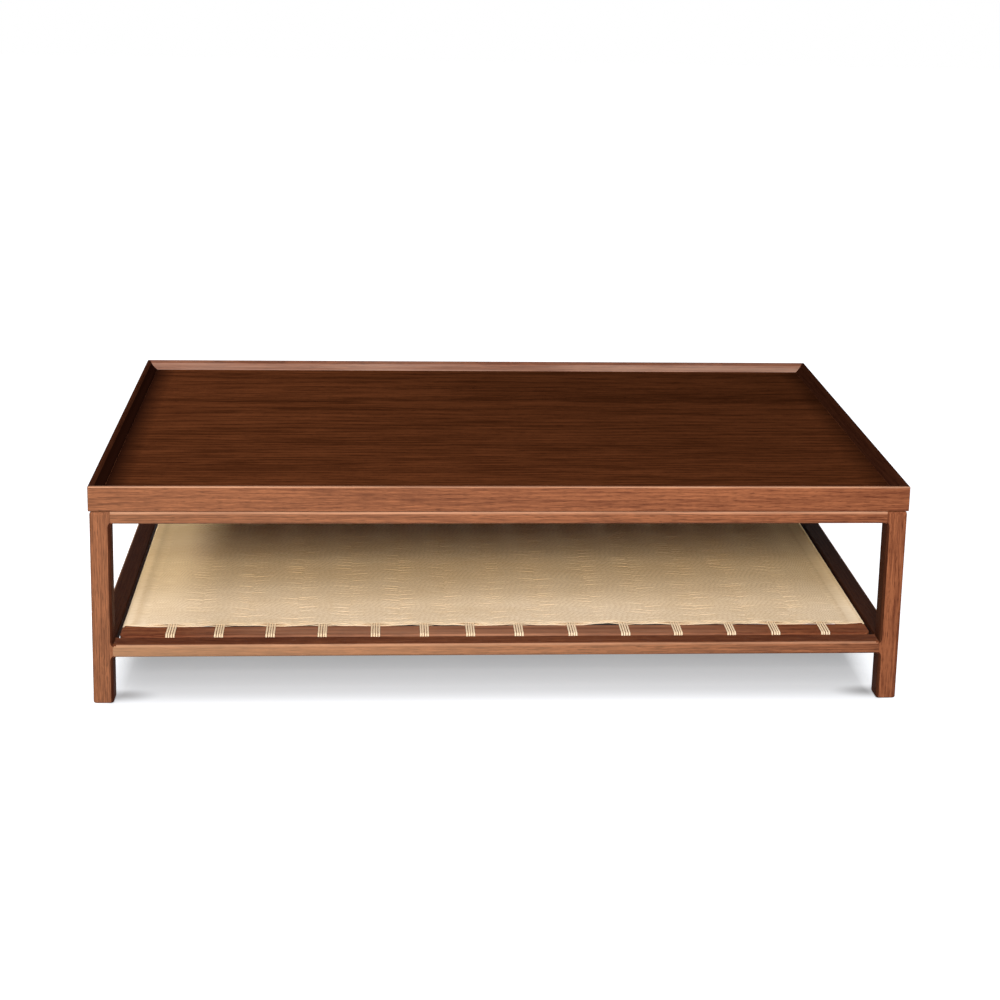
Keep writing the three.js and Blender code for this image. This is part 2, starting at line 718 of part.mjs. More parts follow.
// A group of warp strands: one band from back to front, hooked round both end bars
function warpBand(place) {
  const hook = hookWays(shelfHalfDepth, endBarInner, shelfTop, shelfUnderside, shelfBarRound, cordSize, warpHookRise);
  const outline = [
    ...hook.outer,
    ...[...hook.inner].reverse(),
    ...mirroredWay(hook.inner),
    ...mirroredWay(hook.outer).reverse(),
  ];
  return runAlongX(outline.reverse(), place - warpBandWidth / 2, place + warpBandWidth / 2);
}

// The table
const table = new THREE.Group();
table.name = 'coffee_table';

function addPiece(parent, name, geometry, look) {
  const mesh = new THREE.Mesh(geometry, new THREE.MeshStandardMaterial(look));
  mesh.name = name;
  parent.add(mesh);
}

const tray = new THREE.Group();
const base = new THREE.Group();
const shelf = new THREE.Group();
table.add(tray, base, shelf);

const cornerName = (sideX, sideY) => `${sideY < 0 ? 'front' : 'back'}_${sideX < 0 ? 'left' : 'right'}`;

addPiece(tray, 'tray_panel', trayPanel(), trayWood);
sides.forEach((side) => addPiece(tray, `tray_rim_${side.name}`, trayRim(side), stainedWood));
cornerSigns.forEach(([sideX, sideY]) => {
  addPiece(tray, `mitre_spline_${cornerName(sideX, sideY)}`, atTrayCorner(splineBlock(0), sideX, sideY), hiddenWood);
});
const battens = [['left', -battenSpacing], ['centre', 0], ['right', battenSpacing]];
battens.forEach(([place, x]) => addPiece(tray, `tray_batten_${place}`, trayBatten(x), hiddenWood));

cornerSigns.forEach(([sideX, sideY]) => {
  addPiece(base, `leg_${cornerName(sideX, sideY)}`, leg(sideX, sideY), stainedWood);
  addPiece(base, `glide_${cornerName(sideX, sideY)}`, glide(...legCentre(sideX, sideY)), glidePlastic);
});
sides.forEach((side) => {
  addPiece(base, `top_rail_${side.name}`, topRail(side), stainedWood);
  addPiece(base, `stretcher_${side.name}`, stretcher(side), stainedWood);
});
addPiece(base, 'cross_rail', crossRail(), stainedWood);
screwPlaces.forEach((place) => {
  addPiece(base, `tray_screw_${cornerName(place.x, place.y)}`, trayScrew(place), zincSteel);
});

addPiece(shelf, 'shelf_bar_front', shelfEndBar(-1), stainedWood);
addPiece(shelf, 'shelf_bar_back', shelfEndBar(1), stainedWood);
[['left', -1], ['right', 1]].forEach(([place, sideX]) => {
  const x = sideX * sideBarMiddle;
  const bar = shelfLongBar(x, shelfSideBarWidth, shelfUnderside, shelfTop, sideBarTenons(sideX, 0));
  addPiece(shelf, `shelf_bar_${place}`, bar, stainedWood);
});
const centreBar = shelfLongBar(0, centreBarWidth, shelfUnderside, centreBarTop, centreBarTenons(0));
addPiece(shelf, 'shelf_bar_centre', centreBar, hiddenWood);
const bracketPlaces = [['left', -sideBarMiddle], ['centre', 0], ['right', sideBarMiddle]];
bracketPlaces.forEach(([place, x]) => {
  addPiece(shelf, `shelf_bracket_front_${place}`, shelfBracket(-1, x), zincSteel);
  addPiece(shelf, `shelf_bracket_back_${place}`, shelfBracket(1, x), zincSteel);
});
addPiece(shelf, 'weft_mat', weftMat(), paperCord);
warpPlaces.forEach((place, i) => {
  addPiece(shelf, `warp_band_${String(i + 1).padStart(2, '0')}`, warpBand(place), paperCord);
});

export default table;
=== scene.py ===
# %% [markdown]
# # A low coffee table with a woven shelf
# The table is a shallow wooden tray on a slim frame of square legs and rails. A shelf woven from
# paper cord drops in between the stretchers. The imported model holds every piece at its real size
# and place, in metres, with the front towards -Y. This lesson gives those pieces their looks:
# stained open-grained wood, cord that is really woven, a studio, and a camera.

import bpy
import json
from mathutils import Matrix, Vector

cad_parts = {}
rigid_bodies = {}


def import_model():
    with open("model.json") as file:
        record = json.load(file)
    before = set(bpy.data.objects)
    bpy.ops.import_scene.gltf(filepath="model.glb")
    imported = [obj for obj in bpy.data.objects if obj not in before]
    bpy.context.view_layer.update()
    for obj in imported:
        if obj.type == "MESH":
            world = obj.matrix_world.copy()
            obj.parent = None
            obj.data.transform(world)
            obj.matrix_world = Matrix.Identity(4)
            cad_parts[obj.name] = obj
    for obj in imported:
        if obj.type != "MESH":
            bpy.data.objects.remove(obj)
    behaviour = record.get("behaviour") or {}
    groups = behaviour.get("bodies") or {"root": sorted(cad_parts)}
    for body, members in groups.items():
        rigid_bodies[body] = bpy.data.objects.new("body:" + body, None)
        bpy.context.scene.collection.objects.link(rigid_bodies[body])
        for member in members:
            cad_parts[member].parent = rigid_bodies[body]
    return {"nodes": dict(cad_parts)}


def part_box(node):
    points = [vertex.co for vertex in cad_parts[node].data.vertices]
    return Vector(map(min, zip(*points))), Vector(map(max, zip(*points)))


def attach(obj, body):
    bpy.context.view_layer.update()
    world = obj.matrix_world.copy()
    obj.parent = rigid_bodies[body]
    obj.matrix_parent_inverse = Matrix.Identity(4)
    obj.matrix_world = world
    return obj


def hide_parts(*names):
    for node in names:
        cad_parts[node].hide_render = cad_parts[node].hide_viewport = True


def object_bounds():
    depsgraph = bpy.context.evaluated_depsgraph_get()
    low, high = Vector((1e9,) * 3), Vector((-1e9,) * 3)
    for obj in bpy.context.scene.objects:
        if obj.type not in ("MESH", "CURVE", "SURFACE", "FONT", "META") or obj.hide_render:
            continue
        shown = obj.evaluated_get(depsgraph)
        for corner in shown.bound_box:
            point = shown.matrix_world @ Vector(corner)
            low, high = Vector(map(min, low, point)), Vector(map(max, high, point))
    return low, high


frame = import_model()
frame_box = [list(corner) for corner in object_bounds()]

import json
import random
from math import cos, pi, radians, sin, tan

import bmesh
import bpy
import numpy as np
from mathutils import Matrix, Vector

scene = bpy.context.scene
scene.view_settings.view_transform = "Standard"
print("pieces in the frame:", len(frame["nodes"]))

# %% [markdown]
# ## The camera
# The table was seen from in front and a little above. Its uprights hardly converge, which a
# photographer gets by lifting the lens instead of tilting the whole camera. Blender's name for
# that is shift, and as much of it is used as leaves the table inside the picture from every
# other side too. The rest of the looking down is a plain tilt.

# %% Camera
CAMERA_PLACE = Vector((-0.2349, -3.7611, 1.5298))
CAMERA_YAW = radians(-3.765)
CAMERA_TILT = radians(11.686)
CAMERA_ROLL = radians(1.226)
CAMERA_LENS = 67.65
CAMERA_SHIFT = -0.235
SENSOR_WIDTH = 36

camera_data = bpy.data.cameras.new("camera")
camera_data.sensor_width = SENSOR_WIDTH
camera_data.lens = CAMERA_LENS
camera_data.shift_y = CAMERA_SHIFT
camera = bpy.data.objects.new("camera", camera_data)
camera.matrix_world = (
    Matrix.Translation(CAMERA_PLACE)
    @ Matrix.Rotation(CAMERA_YAW, 4, "Z")
    @ Matrix.Rotation(pi / 2 - CAMERA_TILT, 4, "X")
    @ Matrix.Rotation(CAMERA_ROLL, 4, "Z")
)
scene.collection.objects.link(camera)
scene.camera = camera
print("camera:", round(CAMERA_PLACE.length, 2), "m from the origin, lens", CAMERA_LENS, "mm")

# %% [markdown]
# ## Small helpers for materials
# A material in Blender is a graph of nodes. Writing each link out in full hides the idea behind
# it, so these few helpers take either a number or another node's output for every input. With
# them a finish reads like a sum. Colours are written as they look on screen, and turned into the
# linear values that a shader wants.

# %% Node helpers
def feed(tree, source, socket):
    """Sets a socket to a plain value, or links another node's output to it."""
    if isinstance(source, bpy.types.NodeSocket):
        tree.links.new(source, socket)
    else:
        socket.default_value = source


def math_of(tree, operation, *terms):
    """A Math node on one, two or three numbers."""
    made = tree.nodes.new("ShaderNodeMath")
    made.operation = operation
    for term, socket in zip(terms, made.inputs):
        feed(tree, term, socket)
    return made.outputs[0]


def vector_of(tree, operation, *terms):
    """A Vector Math node. LENGTH gives a number and the rest give a vector."""
    made = tree.nodes.new("ShaderNodeVectorMath")
    made.operation = operation
    for term, socket in zip(terms, made.inputs):
        feed(tree, term, socket)
    return made.outputs["Value" if operation == "LENGTH" else "Vector"]


def noise_of(tree, place, stretch, detail=2.0, rough=0.5):
    """Noise with so many lumps to the metre along each axis."""
    made = tree.nodes.new("ShaderNodeTexNoise")
    feed(tree, vector_of(tree, "MULTIPLY", place, stretch), made.inputs["Vector"])
    made.inputs["Scale"].default_value = 1.0
    made.inputs["Detail"].default_value = detail
    made.inputs["Roughness"].default_value = rough
    return made.outputs["Fac"]


def spread_of(tree, value, low, high, to_low=0.0, to_high=1.0):
    """Maps one range smoothly onto another, and holds the ends."""
    made = tree.nodes.new("ShaderNodeMapRange")
    made.interpolation_type = "SMOOTHSTEP"
    feed(tree, value, made.inputs["Value"])
    for socket, number in zip(made.inputs[1:5], (low, high, to_low, to_high)):
        feed(tree, number, socket)
    return made.outputs["Result"]


def blend_of(tree, share, first, second):
    """Mixes two colours. Sockets 6 and 7 of a Mix node, and its output 2, are those for colours."""
    made = tree.nodes.new("ShaderNodeMix")
    made.data_type = "RGBA"
    feed(tree, share, made.inputs[0])
    feed(tree, first, made.inputs[6])
    feed(tree, second, made.inputs[7])
    return made.outputs[2]


def colour(red, green, blue):
    """A colour given as it looks on screen, from 0 to 255, as the linear values of a shader."""
    def linear(part):
        part = part / 255
        return part / 12.92 if part <= 0.04045 else ((part + 0.055) / 1.055) ** 2.4
    return (linear(red), linear(green), linear(blue), 1.0)


def new_material(name):
    """An empty material, its node tree and its Principled shader."""
    material = bpy.data.materials.new(name)
    material.use_nodes = True
    return material, material.node_tree, material.node_tree.nodes["Principled BSDF"]


def bump_of(tree, shader, height, depth, strength):
    """Raises the surface by a height map. The depth is in metres."""
    made = tree.nodes.new("ShaderNodeBump")
    made.inputs["Strength"].default_value = strength
    made.inputs["Distance"].default_value = depth
    feed(tree, height, made.inputs["Height"])
    tree.links.new(made.outputs["Normal"], shader.inputs["Normal"])


# %% [markdown]
# ## The grain of a board
# A board is cut from a log, so its pattern is a set of rings round a far-off middle, stretched
# along the grain. Each board here carries its own log coordinates, in metres, in an attribute
# named grain: X runs along the board and the rings lie round the X axis. One material can then
# serve all boards, whichever way they lie, and no two look alike. The rings wander along the log
# and are not evenly wide, and between them lie fibres, streaks, bands and the long slits of the
# pores. Each of those is a noise, stretched far along the grain.

# %% Grain patterns, as lumps to the metre along the grain and across it
WANDER = (1.6, 9.0, 9.0)
RIPPLE = (14.0, 60.0, 60.0)
FIBRES = (24.0, 900.0, 900.0)
STREAKS = (18.0, 440.0, 440.0)
BANDS = (3.0, 75.0, 75.0)
SLITS = (60.0, 1300.0, 1300.0)
CLOUDS = (1.1, 11.0, 11.0)
WANDER_SWAY = 0.020
RIPPLE_SWAY = 0.0018
RING_RISE = (0.25, 0.92)
RING_FALL = (1.0, 0.93)
SLIT_EDGE = (0.56, 0.66)
SLIT_SHARE = 0.45


def ring_share(tree, place, ring):
    """How far a point lies into the porous part of its ring, for rings of a given width."""
    wander = noise_of(tree, place, WANDER, detail=3.0)
    ripple = noise_of(tree, place, RIPPLE)
    across = vector_of(tree, "MULTIPLY", place, (0.0, 1.0, 1.0))
    radius = vector_of(tree, "LENGTH", across)
    bent = math_of(tree, "MULTIPLY_ADD", wander, WANDER_SWAY, radius)
    bent = math_of(tree, "MULTIPLY_ADD", ripple, RIPPLE_SWAY, bent)
    turns = math_of(tree, "FRACT", math_of(tree, "DIVIDE", bent, ring))
    rising = spread_of(tree, turns, *RING_RISE)
    return math_of(tree, "MULTIPLY", rising, spread_of(tree, turns, *RING_FALL))


def pore_slits(tree, place, porous):
    """The slits of the pores, which show twice as strongly in the porous part of a ring."""
    slit = spread_of(tree, noise_of(tree, place, SLITS, detail=1.0), *SLIT_EDGE)
    return math_of(tree, "MULTIPLY", slit, math_of(tree, "MULTIPLY_ADD", porous, SLIT_SHARE, SLIT_SHARE))


# %% [markdown]
# ## Stained wood
# All those patterns push the tone of the wood to its pale or to its dark end. The pores are filled with
# a darker stain. Three more attributes of a board add light and shade to its colour: a paler, greyer
# wash on faces that look out into the room, which is a painted sheen, strongest at the left end, where
# the light came from; a dark tone on faces and hollows that little light reaches, which is painted
# shade, and on the panel a painted shadow of the side rims; and a paler tone on rounded edges, partly
# stain thinned by use and partly a painted highlight where they turn up to the light.

# %% Wood material
# Colours of painted light on the wood: the tone of painted shade, the tone of the painted sheen, and the
# tone of rounded edges, which is partly stain thinned by use and partly a painted highlight.
SHADE_TONE = colour(37, 16, 9)
SHEEN_TONE = colour(226, 184, 140)
WEAR_AND_HIGHLIGHT_TONE = colour(214, 163, 130)
HOLLOW_SHEEN_TONE = colour(204, 168, 148)
MIDDLE_TONE = 0.58
RING_PUSH = -0.16
STREAK_PUSH = 1.55
OTHER_PUSH = 0.6
# How much the band pattern lets the wear and painted highlight show on an edge.
PATCH_EDGE = (0.3, 0.7)
PATCH_HIGHLIGHT = (0.35, 0.8)
PORE_DEPTH = 0.0004
SLIT_RELIEF = -1.0
FIBRE_RELIEF = 0.5
RING_RELIEF = -0.25


def attribute_of(tree, title, socket):
    """What a board's attribute says at a point."""
    made = tree.nodes.new("ShaderNodeAttribute")
    made.attribute_name = title
    return made.outputs[socket]


def wood_material(name, pale, dark, pore, rough, gloss, ring, contrast=1.0, figure=1.0,
                  wear_and_highlight_to=WEAR_AND_HIGHLIGHT_TONE):
    """Stained wood: its pale and dark tone, its pores, its polish and the width of a ring.

    A figure over 1 gives wider streaks, as a broad veneer has."""
    material, tree, shader = new_material(name)
    place = attribute_of(tree, "grain", "Vector")
    porous = ring_share(tree, place, ring)
    fibre = noise_of(tree, place, FIBRES, rough=0.6)
    wide_streaks = tuple(lumps / figure for lumps in STREAKS)
    streak = noise_of(tree, place, wide_streaks, detail=3.0, rough=0.6)
    band = noise_of(tree, place, (BANDS[0], BANDS[1] / figure, BANDS[2] / figure))
    cloud = noise_of(tree, place, CLOUDS)
    slit = pore_slits(tree, place, porous)

    # The colour of the bare wood, pushed by every pattern
    tone = math_of(tree, "MULTIPLY_ADD", porous, RING_PUSH * contrast, MIDDLE_TONE)
    pushes = ((streak, STREAK_PUSH), (fibre, OTHER_PUSH), (band, OTHER_PUSH), (cloud, OTHER_PUSH))
    for pattern, push in pushes:
        centred = math_of(tree, "SUBTRACT", pattern, 0.5)
        tone = math_of(tree, "MULTIPLY_ADD", centred, push * contrast, tone)
    body = blend_of(tree, spread_of(tree, tone, 0.0, 1.0), dark, pale)

    # Stain in the pores, then a painted sheen, painted shade, and rounded edges that are partly thinned
    # by use and partly carry a painted highlight
    body = blend_of(tree, slit, body, pore)
    body = blend_of(tree, attribute_of(tree, "painted_sheen", "Fac"), body, SHEEN_TONE)
    body = blend_of(tree, attribute_of(tree, "painted_shade", "Fac"), body, SHADE_TONE)
    patchy = spread_of(tree, band, *PATCH_EDGE, *PATCH_HIGHLIGHT)
    edge_wear_and_highlight = math_of(tree, "MULTIPLY", attribute_of(tree, "wear_and_highlight", "Fac"), patchy)
    body = blend_of(tree, edge_wear_and_highlight, body, wear_and_highlight_to)
    tree.links.new(body, shader.inputs["Base Color"])
    shader.inputs["Roughness"].default_value = rough
    shader.inputs["Specular IOR Level"].default_value = gloss

    # The pores are slits in the surface, and the fibres stand a little proud
    relief = math_of(tree, "MULTIPLY", fibre, FIBRE_RELIEF)
    relief = math_of(tree, "MULTIPLY_ADD", slit, SLIT_RELIEF, relief)
    relief = math_of(tree, "MULTIPLY_ADD", porous, RING_RELIEF, relief)
    bump_of(tree, shader, relief, depth=PORE_DEPTH, strength=0.5)
    return material


# %% The four finishes of the wood
stained_wood = wood_material(
    "stained_wood", pale=colour(145, 87, 57), dark=colour(91, 46, 30), pore=colour(67, 29, 19),
    rough=0.45, gloss=0.004, ring=0.0042, contrast=1.1)
# A matt wood for the hollows and dark lips of the rims, which carry painted shade, and in the back
# hollow a painted sheen.
matt_wood = wood_material(
    "matt_wood", pale=colour(149, 87, 57), dark=colour(101, 50, 32), pore=colour(70, 31, 19),
    rough=0.6, gloss=0.0, ring=0.0042, wear_and_highlight_to=HOLLOW_SHEEN_TONE)
tray_wood = wood_material(
    "tray_wood", pale=colour(107, 58, 32), dark=colour(64, 31, 14), pore=colour(50, 21, 10),
    rough=0.55, gloss=0.0, ring=0.0110, contrast=1.1, figure=2.4)
hidden_wood = wood_material(
    "hidden_wood", pale=colour(206, 168, 120), dark=colour(170, 128, 84), pore=colour(128, 90, 56),
    rough=0.7, gloss=0.2, ring=0.0040)
wood_finishes = (stained_wood, matt_wood, tray_wood, hidden_wood)
print("nodes in each wood:", {finish.name: len(finish.node_tree.nodes) for finish in wood_finishes})

# %% [markdown]
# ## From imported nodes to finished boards
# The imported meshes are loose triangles. A copy of each is merged, its flat faces are joined up
# again, and it is shaded smooth across the small steps of its rounded edges and sharp at its
# corners. The Weighted Normal modifier keeps the large flats truly flat beside those roundings.
# The copy stands for its node and stays exactly where the node is.

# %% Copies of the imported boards
MERGE_DISTANCE = 1e-6
FLAT_ANGLE = radians(0.5)
SMOOTH_ANGLE = radians(38)


def merged_copy(node, name):
    """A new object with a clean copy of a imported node's mesh, and its open bmesh."""
    shape = bmesh.new()
    shape.from_mesh(frame["nodes"][node].data)
    bmesh.ops.remove_doubles(shape, verts=shape.verts, dist=MERGE_DISTANCE)
    bmesh.ops.dissolve_limit(shape, angle_limit=FLAT_ANGLE, verts=shape.verts, edges=shape.edges)
    piece = bpy.data.objects.new(name, bpy.data.meshes.new(name))
    scene.collection.objects.link(piece)
    return piece, shape


def finish_mesh(piece, shape, material):
    """Writes a bmesh to its object, smooth but for its sharp corners, in one material."""
    shape.to_mesh(piece.data)
    shape.free()
    piece.data.shade_smooth()
    piece.data.set_sharp_from_angle(angle=SMOOTH_ANGLE)
    piece.data.materials.clear()
    piece.data.materials.append(material)
    weighted = piece.modifiers.new("even flats", "WEIGHTED_NORMAL")
    weighted.keep_sharp = True


# %% [markdown]
# ## Light, shade and wear over a board
# Upward rounded edges that look out get a paler tone, partly stain thinned by use and partly a painted
# highlight, and other outward rounded edges a little of it. Upright faces that look out into the room
# get a paler wash, a painted sheen, most of all at the left end, where the light came from. All other
# faces can be darkened by painted shade. These shares are written to the corners of the faces, so that a
# finish can change sharply at an edge.

# %% Board helper
ROUNDING_STEP = (radians(20), radians(40))
FLAT_SHARE = 0.995
UPWARD = 0.25
UPRIGHT = 0.75
LOW_HIGHLIGHT = 0.1
INWARD = 0.1
# How much of the painted sheen each end of the table gets: most at the left, where the light came from.
SHEEN_LEFT = 1.1
SHEEN_RIGHT = 0.10
LOG_LENGTH = 4
NEAR_HEART = (0.14, 0.30)
GRAIN_TURNS = {
    "X": Matrix(((1, 0, 0), (0, 1, 0), (0, 0, 1))),
    "Y": Matrix(((0, 1, 0), (-1, 0, 0), (0, 0, 1))),
    "Z": Matrix(((0, 0, 1), (0, 1, 0), (-1, 0, 0))),
}
BOARD_SEED = 7
board_luck = random.Random(BOARD_SEED)


def wear_and_highlight_share(corner):
    """How much wear and painted highlight a corner gets: 1 in an upward convex rounding, a little in
    others, 0 on flats.
    """
    low, high = ROUNDING_STEP
    if max(abs(part) for part in corner.face.normal) > FLAT_SHARE:
        return 0.0
    steps = [edge.calc_face_angle_signed(0.0) for edge in corner.vert.link_edges if edge.is_manifold]
    if not any(low < step < high for step in steps):
        return 0.0
    return 1.0 if corner.face.normal.z > UPWARD else LOW_HIGHLIGHT


def looks_out(face):
    """True for a face that doesn't look in towards the middle of the table."""
    middle = face.calc_center_median()
    return all(face.normal[axis] * (1 if middle[axis] > 0 else -1) > -INWARD for axis in (0, 1))


def sheen_along(x):
    """How much of the painted sheen a point gets: most at the left end, where the light came from."""
    share = (x - frame_box[0][0]) / (frame_box[1][0] - frame_box[0][0])
    return SHEEN_LEFT + (SHEEN_RIGHT - SHEEN_LEFT) * share


def board(node, along, material, heart=NEAR_HEART, painted_sheen=0.0, painted_shade_share=0.0, edge_wear_and_highlight=0.0):
    """Finishes one wooden piece, with its grain along an axis and its own place in the log.

    The heart gives how near and how far the middle of the log can be. The next three shares give the
    painted sheen on upright faces that look out, the painted shade on all other faces, and the wear and
    painted highlight on rounded edges that look out."""
    piece, shape = merged_copy(node, node + "_board")
    low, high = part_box(node)
    angle = board_luck.uniform(0, 2 * pi)
    reach = board_luck.uniform(*heart)
    in_log = Vector((board_luck.uniform(0, LOG_LENGTH), reach * cos(angle), reach * sin(angle)))
    grain_layer = shape.verts.layers.float_vector.new("grain")
    wear_and_highlight_layer = shape.loops.layers.float.new("wear_and_highlight")
    painted_sheen_layer = shape.loops.layers.float.new("painted_sheen")
    painted_shade_layer = shape.loops.layers.float.new("painted_shade")
    for vertex in shape.verts:
        vertex[grain_layer] = GRAIN_TURNS[along] @ (vertex.co - (low + high) / 2) + in_log
    for face in shape.faces:
        outward = looks_out(face)
        outer = outward and abs(face.normal.z) < UPRIGHT
        for corner in face.loops:
            corner[wear_and_highlight_layer] = edge_wear_and_highlight * wear_and_highlight_share(corner) if outward else 0.0
            corner[painted_sheen_layer] = painted_sheen * sheen_along(corner.vert.co.x) if outer else 0.0
            corner[painted_shade_layer] = 0.0 if outer else painted_shade_share
    finish_mesh(piece, shape, material)
    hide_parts(node)
    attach(piece, "root")
    return piece


def boards_so_far():
    """How many boards have been finished."""
    return sum(piece.name.endswith("_board") for piece in scene.objects)


# %% [markdown]
# ## The tray
# The panel is one wide, dark board that shows between the rims. Each rim is a separate length with its
# grain along it, mitred at the corners, and hollowed on the inside so that the floor of the tray sweeps
# up to a thin lip. The hollows and the lips of the side rims are darkened by painted shade, a painted
# shadow of the side rims lies along their foot on the panel, the back hollow has a painted sheen, and
# the lip in front has a painted highlight. The battens below and the loose tongues in the mitres are
# plain unstained wood.

# %% Finish of the rims
SIDES = ("front", "right", "back", "left")
CORNERS = ("front_left", "front_right", "back_right", "back_left")
GRAIN_OF_SIDE = {"front": "X", "back": "X", "left": "Y", "right": "Y"}
LIP = 0.006
HOLLOW_FADE = 0.002
HOLLOW_WIDE = 0.018
# Painted shade in each hollow and on each lip, darkest where the hollow faces away from the light; a
# painted sheen in the back hollow, which faces the light; a painted highlight on the lip in front and a
# little on the back one.
HOLLOW_SHADE = {"front": 0.8, "left": 1.0, "right": 0.88, "back": 0.15}
HOLLOW_SHEEN = {"front": 0.0, "left": 0.0, "right": 0.0, "back": 0.60}
LIP_SHADE = {"front": 0.0, "left": 0.80, "right": 0.85, "back": 0.25}
LIP_HIGHLIGHT = {"front": 0.62, "left": 0.0, "right": 0.0, "back": 0.2}
tray_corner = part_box("tray_rim_left")[0]


def hollow_share(place):
    """How far into the tray's hollow a point lies: 0 on the lip and 1 a little past it."""
    from_edge = min(abs(tray_corner.x) - abs(place.x), abs(tray_corner.y) - abs(place.y))
    return min(max((from_edge - LIP) / HOLLOW_FADE, 0.0), 1.0)


def finish_rim(piece, side):
    """Paints shade into the hollow of a rim and a sheen into the back one, and paints shade or a
    highlight on the top of its thin lip.
    """
    mesh = piece.data
    mesh.materials.append(matt_wood)
    painted_shade, wear_and_highlight = mesh.attributes["painted_shade"].data, mesh.attributes["wear_and_highlight"].data
    for face in mesh.polygons:
        shares = [hollow_share(mesh.vertices[index].co) for index in face.vertices]
        if face.normal.z < UPWARD:
            continue
        if sum(shares) > len(shares) / 2:
            face.material_index = 1
            for index, share in zip(face.loop_indices, shares):
                painted_shade[index].value = share * HOLLOW_SHADE[side]
                wear_and_highlight[index].value = share * HOLLOW_SHEEN[side]
        else:
            face.material_index = 1 if LIP_SHADE[side] > LIP_HIGHLIGHT[side] else 0
            for index in face.loop_indices:
                painted_shade[index].value = LIP_SHADE[side]
                wear_and_highlight[index].value = LIP_HIGHLIGHT[side]


def fade_along(piece, finish, stops):
    """Cuts a board at some places along X, and fades one of its finishes from each to the next."""
    places, values = zip(*stops)
    shape = bmesh.new()
    shape.from_mesh(piece.data)
    for place in places:
        everything = [*shape.verts, *shape.edges, *shape.faces]
        bmesh.ops.bisect_plane(shape, geom=everything, plane_co=(place, 0, 0), plane_no=(1, 0, 0))
    layer = shape.loops.layers.float[finish]
    for face in shape.faces:
        for corner in face.loops:
            corner[layer] = np.interp(corner.vert.co.x, places, values)
    shape.to_mesh(piece.data)
    shape.free()


# %% Tray boards
VENEER_HEART = (0.5, 0.6)
# A painted shadow of the side rims on the panel: a strip along the foot of each, darker on the left.
RIM_SHADOW_WIDTH = 0.045
RIM_SHADOW_LEFT = 1.0
RIM_SHADOW_RIGHT = 0.55

panel = board("tray_panel", "X", tray_wood, heart=VENEER_HEART)
foot = abs(tray_corner.x) - LIP - HOLLOW_WIDE
panel_stops = ((-foot, RIM_SHADOW_LEFT), (RIM_SHADOW_WIDTH - foot, 0.0), (foot - RIM_SHADOW_WIDTH, 0.0),
               (foot, RIM_SHADOW_RIGHT))
fade_along(panel, "painted_shade", panel_stops)
for side in SIDES:
    rim = board(f"tray_rim_{side}", GRAIN_OF_SIDE[side], stained_wood,
                painted_sheen=0.06, edge_wear_and_highlight=1.0)
    finish_rim(rim, side)
for place in ("left", "centre", "right"):
    board(f"tray_batten_{place}", "Y", hidden_wood)
for corner in CORNERS:
    board(f"mitre_spline_{corner}", "X", hidden_wood)
print("boards finished with the tray:", boards_so_far())

# %% [markdown]
# ## The frame
# Legs have upright grain, and rails and stretchers have theirs lengthwise, so a joint shows as a fine
# line where the grain turns. The outer faces get a painted sheen, those of the stretchers the most, and
# the faces that look in, up or down are darkened by painted shade, most of all on the legs and the side
# stretchers. The cross rail under the tray is stained like the rest.

# %% Frame boards
# How much painted shade the faces of each stretcher that look in or up get, most on the sides, which the
# light hardly reached.
INNER_SHADE = {"front": 0.26, "back": 0.26, "left": 0.85, "right": 0.85}
RAIL_HEART = (0.06, 0.12)

for corner in CORNERS:
    board(f"leg_{corner}", "Z", stained_wood, painted_sheen=0.06, painted_shade_share=0.8)
for side in SIDES:
    board(f"top_rail_{side}", GRAIN_OF_SIDE[side], stained_wood,
          heart=RAIL_HEART, painted_sheen=0.09, painted_shade_share=0.3, edge_wear_and_highlight=0.7)
    board(f"stretcher_{side}", GRAIN_OF_SIDE[side], stained_wood,
          painted_sheen=0.26, painted_shade_share=INNER_SHADE[side], edge_wear_and_highlight=0.4)
board("cross_rail", "Y", stained_wood)
print("boards finished with the frame:", boards_so_far())

# %% [markdown]
# ## The bars of the shelf
# The weave hides most of these. The front and back bars show a strip of stained wood beside the weave,
# and the front one is paler along its middle than at its ends. The centre bar underneath is left plain.

# %% Shelf boards, with how much paler the front bar is at some places along it
BAR_PALE_MIDDLE = ((-0.62, 0.0), (-0.42, 0.42), (0.30, 0.38), (0.58, 0.0))

for side in SIDES:
    bar = board(f"shelf_bar_{side}", GRAIN_OF_SIDE[side], stained_wood)
    if side == "front":
        fade_along(bar, "wear_and_highlight", BAR_PALE_MIDDLE)
board("shelf_bar_centre", "Y", hidden_wood)
print("boards finished with the shelf:", boards_so_far())

# %% [markdown]
# ## Steel and plastic
# Zinc-plated steel is pale grey and a little blotchy where the plating crystals lie. The glides
# under the legs are dull black plastic with a fine texture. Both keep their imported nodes, which
# have the right shape, and only get a material.

# %% Metal and plastic materials
ZINC_BLOTCHES = (160.0, 160.0, 160.0)
BLOTCH_EDGE = (0.3, 0.7)
PLASTIC_SPECKS = (2200.0, 2200.0, 2200.0)


def zinc_material():
    """Zinc plate: metal with faint blotches in its colour."""
    material, tree, shader = new_material("zinc_steel")
    place = tree.nodes.new("ShaderNodeTexCoord").outputs["Object"]
    blotch = noise_of(tree, place, ZINC_BLOTCHES, detail=3.0)
    share = spread_of(tree, blotch, *BLOTCH_EDGE)
    shade = blend_of(tree, share, colour(150, 152, 156), colour(190, 190, 188))
    tree.links.new(shade, shader.inputs["Base Color"])
    shader.inputs["Metallic"].default_value = 1.0
    shader.inputs["Roughness"].default_value = 0.38
    bump_of(tree, shader, blotch, depth=0.0001, strength=0.3)
    return material


